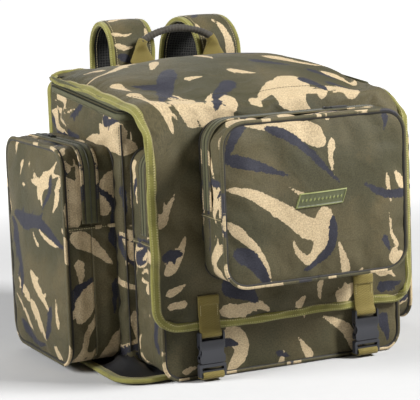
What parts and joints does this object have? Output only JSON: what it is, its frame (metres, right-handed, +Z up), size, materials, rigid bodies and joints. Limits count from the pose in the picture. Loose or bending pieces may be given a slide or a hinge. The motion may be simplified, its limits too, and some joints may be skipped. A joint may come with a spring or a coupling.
{
  "type": "tackle backpack",
  "caption": "Box-shaped camouflage fishing rucksack with a buckled lid and flap, zipped front, lid and side pockets, padded shoulder straps and a carry handle.",
  "frame": {"origin": "centre of the whole backpack's footprint, at ground level", "axes": "+Z up, -Y towards the front with the buckles, +Y towards the wearer's back, +X to the right seen from the front"},
  "size_m": [0.53, 0.5395, 0.4537],
  "materials": {
    "camo_fabric": "woven polyester, matt, with a green, tan and navy camouflage print",
    "olive_tape": "woven binding tape, matt",
    "olive_webbing": "woven webbing, matt",
    "dark_piping": "cord covered in dark woven fabric",
    "zip_tape": "woven zip tape with a plastic coil",
    "black_mesh": "padded knitted spacer mesh",
    "black_pvc": "moulded waterproof sheet with a soft sheen",
    "board": "stiff plastic sheet",
    "buckle_plastic": "dark grey moulded plastic, satin",
    "slider_metal": "black enamelled metal",
    "pull_rubber": "black moulded rubber",
    "grip": "dark woven fabric rolled round foam",
    "badge_rubber": "olive moulded rubber, blank"
  },
  "bodies": {
    "bag": {"base_panel": "black_pvc", "base_board": "board", "base_binding": "olive_tape", "back_panel": "black_mesh", "back_pads": "black_mesh", "back_binding": "olive_tape", "side_panel_left": "camo_fabric", "side_panel_right": "camo_fabric", "front_panel": "camo_fabric", "rim_zip": "zip_tape", "front_pocket_shell": "camo_fabric", "front_pocket_piping": "dark_piping", "front_pocket_zip": "zip_tape", "side_pocket_left_shell": "camo_fabric", "side_pocket_right_shell": "camo_fabric", "side_pocket_piping": "dark_piping", "side_pocket_zip": "zip_tape", "base_straps": "olive_webbing", "buckle_male_left": "buckle_plastic", "buckle_male_right": "buckle_plastic"},
    "lid": {"lid_panel": "camo_fabric", "lid_zip": "zip_tape", "lid_binding": "olive_tape"},
    "flap": {"flap_panel": "camo_fabric", "flap_binding": "olive_tape", "lid_pocket_shell": "camo_fabric", "lid_pocket_piping": "dark_piping", "lid_pocket_zip": "zip_tape", "lid_straps": "olive_webbing"},
    "lid_pocket_cover": {"lid_pocket_cover": "camo_fabric", "lid_pocket_cover_piping": "dark_piping", "badge": "badge_rubber"},
    "side_cover_left": {"side_pocket_left_cover": "camo_fabric", "side_pocket_left_cover_piping": "dark_piping"},
    "side_cover_right": {"side_pocket_right_cover": "camo_fabric", "side_pocket_right_cover_piping": "dark_piping"},
    "buckle_left": {"buckle_female_left": "buckle_plastic"},
    "buckle_right": {"buckle_female_right": "buckle_plastic"},
    "prong_left_a": {"prong_left_a": "buckle_plastic"},
    "prong_left_b": {"prong_left_b": "buckle_plastic"},
    "prong_right_a": {"prong_right_a": "buckle_plastic"},
    "prong_right_b": {"prong_right_b": "buckle_plastic"},
    "shoulder_left": {"shoulder_pad_left": "camo_fabric", "strap_webbing_left": "olive_webbing", "ladder_lock_left": "buckle_plastic"},
    "shoulder_right": {"shoulder_pad_right": "camo_fabric", "strap_webbing_right": "olive_webbing", "ladder_lock_right": "buckle_plastic"},
    "handle": {"handle_grip": "grip", "handle_webbing": "olive_webbing"},
    "rim_slider": {"rim_slider": "slider_metal"},
    "rim_pull": {"rim_pull": "pull_rubber"},
    "front_pocket_slider": {"front_pocket_slider": "slider_metal"},
    "front_pocket_pull": {"front_pocket_pull": "pull_rubber"},
    "side_left_slider": {"side_left_slider": "slider_metal"},
    "side_left_pull": {"side_left_pull": "pull_rubber"},
    "side_right_slider": {"side_right_slider": "slider_metal"},
    "side_right_pull": {"side_right_pull": "pull_rubber"},
    "lid_pocket_slider": {"lid_pocket_slider": "slider_metal"},
    "lid_pocket_pull": {"lid_pocket_pull": "pull_rubber"}
  },
  "joints": [
    {"name": "lid_open", "type": "hinge", "parent": "bag", "child": "lid", "pos_m": [0, 0.143, 0.3835], "axis": [-1, 0, 0], "range_deg": [0, 80], "deforming": ["prong_left_a", "prong_left_b", "prong_right_a", "prong_right_b"]},
    {"name": "flap_open", "type": "hinge", "parent": "lid", "child": "flap", "pos_m": [0, -0.1995, 0.3525], "axis": [-1, 0, 0], "range_deg": [0, 90], "deforming": ["prong_left_a", "prong_left_b", "prong_right_a", "prong_right_b"]},
    {"name": "lid_pocket_open", "type": "hinge", "parent": "flap", "child": "lid_pocket_cover", "pos_m": [0.014, -0.269, 0.222], "axis": [1, 0, 0], "range_deg": [0, 90]},
    {"name": "side_pocket_left_open", "type": "hinge", "parent": "bag", "child": "side_cover_left", "pos_m": [-0.265, 0.024, 0.2], "axis": [0, -1, 0], "range_deg": [0, 90]},
    {"name": "side_pocket_right_open", "type": "hinge", "parent": "bag", "child": "side_cover_right", "pos_m": [0.265, 0.024, 0.2], "axis": [0, 1, 0], "range_deg": [0, 90]},
    {"name": "buckle_left_swing", "type": "hinge", "parent": "flap", "child": "buckle_left", "pos_m": [-0.116, -0.209, 0.061], "axis": [-1, 0, 0], "range_deg": [0, 60], "deforming": ["prong_left_a", "prong_left_b", "prong_right_a", "prong_right_b"]},
    {"name": "buckle_right_swing", "type": "hinge", "parent": "flap", "child": "buckle_right", "pos_m": [0.116, -0.209, 0.061], "axis": [-1, 0, 0], "range_deg": [0, 60], "deforming": ["prong_left_a", "prong_left_b", "prong_right_a", "prong_right_b"]},
    {"name": "prong_left_a_squeeze", "type": "hinge", "parent": "bag", "child": "prong_left_a", "pos_m": [-0.1252, -0.209, 0.0235], "axis": [0, 1, 0], "range_deg": [0, 6], "stiffness_Nm_per_rad": 0.05},
    {"name": "prong_left_b_squeeze", "type": "hinge", "parent": "bag", "child": "prong_left_b", "pos_m": [-0.1068, -0.209, 0.0235], "axis": [0, -1, 0], "range_deg": [0, 6], "stiffness_Nm_per_rad": 0.05},
    {"name": "prong_right_a_squeeze", "type": "hinge", "parent": "bag", "child": "prong_right_a", "pos_m": [0.1068, -0.209, 0.0235], "axis": [0, 1, 0], "range_deg": [0, 6], "stiffness_Nm_per_rad": 0.05},
    {"name": "prong_right_b_squeeze", "type": "hinge", "parent": "bag", "child": "prong_right_b", "pos_m": [0.1252, -0.209, 0.0235], "axis": [0, -1, 0], "range_deg": [0, 6], "stiffness_Nm_per_rad": 0.05},
    {"name": "side_left_zip", "type": "slide", "parent": "side_cover_left", "child": "side_left_slider", "axis": [0, 1, 0], "range_m": [-0.08, 0.045]},
    {"name": "side_left_pull_turn", "type": "hinge", "parent": "side_left_slider", "child": "side_left_pull", "pos_m": [-0.227, 0.044, 0.3075], "axis": [1, 0, 0], "range_deg": [0, 170]},
    {"name": "side_right_zip", "type": "slide", "parent": "side_cover_right", "child": "side_right_slider", "axis": [0, 1, 0], "range_m": [-0.08, 0.045]},
    {"name": "side_right_pull_turn", "type": "hinge", "parent": "side_right_slider", "child": "side_right_pull", "pos_m": [0.227, 0.044, 0.3075], "axis": [1, 0, 0], "range_deg": [0, 170]},
    {"name": "lid_pocket_zip", "type": "slide", "parent": "lid_pocket_cover", "child": "lid_pocket_slider", "axis": [1, 0, 0], "range_m": [-0.13, 0.045]},
    {"name": "lid_pocket_pull_turn", "type": "hinge", "parent": "lid_pocket_slider", "child": "lid_pocket_pull", "pos_m": [0.054, -0.224, 0.3455], "axis": [0, -1, 0], "range_deg": [0, 170]},
    {"name": "front_pocket_zip", "type": "slide", "parent": "bag", "child": "front_pocket_slider", "axis": [0, 0, 1], "range_m": [-0.055, 0.02]},
    {"name": "front_pocket_pull_turn", "type": "hinge", "parent": "front_pocket_slider", "child": "front_pocket_pull", "pos_m": [0.1815, -0.152, 0.25], "axis": [0, -1, 0], "range_deg": [0, 170]},
    {"name": "rim_zip", "type": "slide", "parent": "bag", "child": "rim_slider", "axis": [0, 0.9959, 0.0901], "range_m": [-0.18, 0.01]},
    {"name": "rim_pull_turn", "type": "hinge", "parent": "rim_slider", "child": "rim_pull", "pos_m": [0.1958, 0.083, 0.36727], "axis": [0, -0.0901, 0.9959], "range_deg": [-170, 0]},
    {"name": "shoulder_left_swing", "type": "hinge", "parent": "bag", "child": "shoulder_left", "pos_m": [-0.048, 0.16, 0.014], "axis": [0, 0.0192, 0.9998], "range_deg": [-8, 8]},
    {"name": "shoulder_right_swing", "type": "hinge", "parent": "bag", "child": "shoulder_right", "pos_m": [0.08, 0.16, 0.014], "axis": [0, 0.0192, 0.9998], "range_deg": [-8, 8]},
    {"name": "handle_swing", "type": "hinge", "parent": "bag", "child": "handle", "pos_m": [0.016, 0.149, 0.387], "axis": [-1, 0, 0], "range_deg": [-60, 0]}
  ]
}
